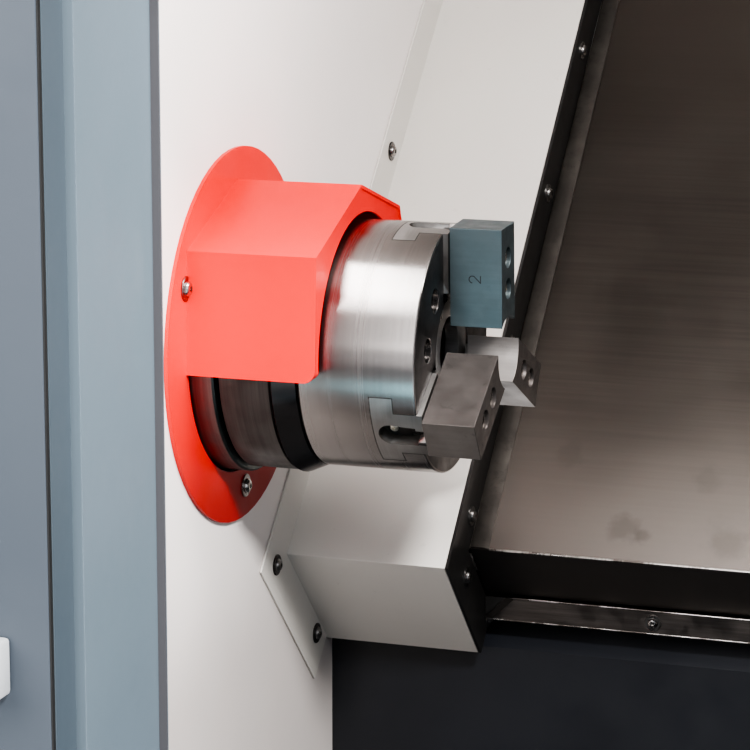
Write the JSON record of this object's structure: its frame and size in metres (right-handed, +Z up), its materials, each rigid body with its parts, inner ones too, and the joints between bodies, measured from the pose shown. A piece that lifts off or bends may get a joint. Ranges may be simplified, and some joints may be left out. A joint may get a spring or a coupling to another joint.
{
  "type": "cnc turning lathe",
  "caption": "Slant-bed CNC turning lathe in its enclosure, with the door slid open onto a three-jaw power chuck, a red chuck guard, steel way covers and a tool turret.",
  "frame": {"origin": "on the floor, under the middle of the machine", "axes": "+X along the spindle from the headstock to the right end, +Y from the operator to the back, +Z up"},
  "size_m": [2.3066, 1.56, 1.72],
  "materials": {
    "navy": "satin",
    "zinc": "zinc plated",
    "steel": "ground",
    "ground_steel": "ground",
    "bright_steel": "polished",
    "jaw_steel": "hardened, dark",
    "way_steel": "oily, worn brighter along the lower edge",
    "black_oxide": "black oxide",
    "aluminium": "machined",
    "cast_grey": "painted casting",
    "dark_blue": "satin",
    "black": "satin",
    "black_plastic": "moulded",
    "rubber": "matt",
    "stop_red": "gloss",
    "wall": "satin",
    "cream": "satin, oil stained",
    "guard_red": "satin",
    "fascia": "satin",
    "door": "satin",
    "enclosure": "satin",
    "dark_base": "satin",
    "handle_grey": "satin",
    "panel": "satin",
    "glass": "clear"
  },
  "bodies": {
    "machine": {"bed_casting": "navy", "bulkhead_wall": "wall", "cabinet_body": "enclosure", "chuck_guard": "guard_red", "control_panel": "panel", "cover_gutter": "way_steel", "drive_belt": "rubber", "front_bearing": "steel", "front_fascia": "fascia", "headstock_bed_cover": "cream", "headstock_casting": "cast_grey", "left_end_cover": "enclosure", "lower_apron": "dark_base", "lower_door_track": "zinc", "lower_rail": "steel", "nose_ring": "bright_steel", "rear_bearing": "steel", "rear_cover": "enclosure", "right_end_cover": "enclosure", "roof_cover": "enclosure", "spindle_motor": "dark_blue", "upper_door_track": "zinc", "upper_rail": "steel", "way_cover_end_plate": "black", "way_cover_left_fixed": "way_steel", "way_cover_right_fixed": "way_steel", "work_area_liner": "wall", "z_motor": "black"},
    "spindle": {"spindle": "ground_steel", "chuck_adapter": "black_oxide", "slinger_ring": "black", "chuck_body": "bright_steel", "chuck_centre_ring": "steel", "spindle_pulley": "steel", "rotary_cylinder": "aluminium"},
    "draw_bar": {"wedge_plunger": "steel", "draw_tube": "steel"},
    "jaw_1": {"master_jaw_1": "ground_steel", "top_jaw_1": "jaw_steel"},
    "jaw_2": {"master_jaw_2": "ground_steel", "top_jaw_2": "jaw_steel"},
    "jaw_3": {"master_jaw_3": "ground_steel", "top_jaw_3": "jaw_steel"},
    "motor_rotor": {"motor_pulley": "steel"},
    "door": {"door_leaf": "door", "door_window": "glass", "door_handle": "handle_grey"},
    "saddle": {"saddle": "cast_grey", "way_cover_left_moving": "way_steel", "way_cover_right_moving": "way_steel"},
    "z_screw": {"z_screw": "ground_steel"},
    "cross_slide": {"cross_slide": "cast_grey", "turret_body": "cast_grey"},
    "turret": {"turret_disc": "ground_steel", "turning_tool": "black_oxide", "facing_tool": "black_oxide"},
    "coolant_tank": {"coolant_tank": "dark_base"},
    "cabinet_door": {"cabinet_door": "enclosure"},
    "emergency_stop": {"emergency_stop": "stop_red"},
    "override_knob": {"override_knob": "black_plastic"}
  },
  "joints": [
    {"name": "spindle_turn", "type": "hinge", "parent": "machine", "child": "spindle", "pos_m": [-0.14, -0.24, 1], "axis": [1, 0, 0], "continuous": true},
    {"name": "draw_bar_slide", "type": "slide", "parent": "spindle", "child": "draw_bar", "axis": [-1, 0, 0], "range_m": [0, 0.014]},
    {"name": "jaw_1_slide", "type": "slide", "parent": "spindle", "child": "jaw_1", "axis": [0, 0.0628, -0.998], "range_m": [0, 0.0037]},
    {"name": "jaw_2_slide", "type": "slide", "parent": "spindle", "child": "jaw_2", "axis": [0, 0.8329, 0.5534], "range_m": [0, 0.0037]},
    {"name": "jaw_3_slide", "type": "slide", "parent": "spindle", "child": "jaw_3", "axis": [0, -0.8957, 0.4446], "range_m": [0, 0.0037]},
    {"name": "motor_turn", "type": "hinge", "parent": "machine", "child": "motor_rotor", "pos_m": [-0.8925, -0.29, 0.335], "axis": [1, 0, 0], "continuous": true},
    {"name": "door_slide", "type": "slide", "parent": "machine", "child": "door", "axis": [1, 0, 0], "range_m": [0, 0.847]},
    {"name": "z_slide", "type": "slide", "parent": "machine", "child": "saddle", "axis": [1, 0, 0], "range_m": [-0.24, 0]},
    {"name": "z_screw_turn", "type": "hinge", "parent": "machine", "child": "z_screw", "pos_m": [0, 0.17479, 0.90341], "axis": [1, 0, 0], "range_deg": [-8640, 0]},
    {"name": "x_slide", "type": "slide", "parent": "saddle", "child": "cross_slide", "axis": [0, 0.7071, 0.7071], "range_m": [-0.12, 0.04]},
    {"name": "turret_index", "type": "hinge", "parent": "cross_slide", "child": "turret", "pos_m": [0.182, -0.00665, 1.23335], "axis": [1, 0, 0], "continuous": true},
    {"name": "tank_slide", "type": "slide", "parent": "machine", "child": "coolant_tank", "axis": [0, -1, 0], "range_m": [0, 0.45]},
    {"name": "cabinet_door_hinge", "type": "hinge", "parent": "machine", "child": "cabinet_door", "pos_m": [0.9, 0.74, 0.36], "axis": [0, 0, -1], "range_deg": [0, 110]},
    {"name": "emergency_stop_press", "type": "slide", "parent": "machine", "child": "emergency_stop", "axis": [0, 1, 0], "range_m": [0, 0.006], "stiffness_N_per_m": 900},
    {"name": "override_knob_turn", "type": "hinge", "parent": "machine", "child": "override_knob", "pos_m": [1, -0.743, 1.1], "axis": [0, -1, 0], "range_deg": [0, 300]}
  ],
  "couplings": [
    {"joint": "jaw_2_slide", "follows": "jaw_1_slide", "ratio": 1},
    {"joint": "jaw_3_slide", "follows": "jaw_1_slide", "ratio": 1},
    {"joint": "draw_bar_slide", "follows": "jaw_1_slide", "ratio": 3.7321},
    {"joint": "motor_turn", "follows": "spindle_turn", "ratio": 1.4},
    {"joint": "z_screw_turn", "follows": "z_slide", "rad_per_m": 628.32}
  ]
}
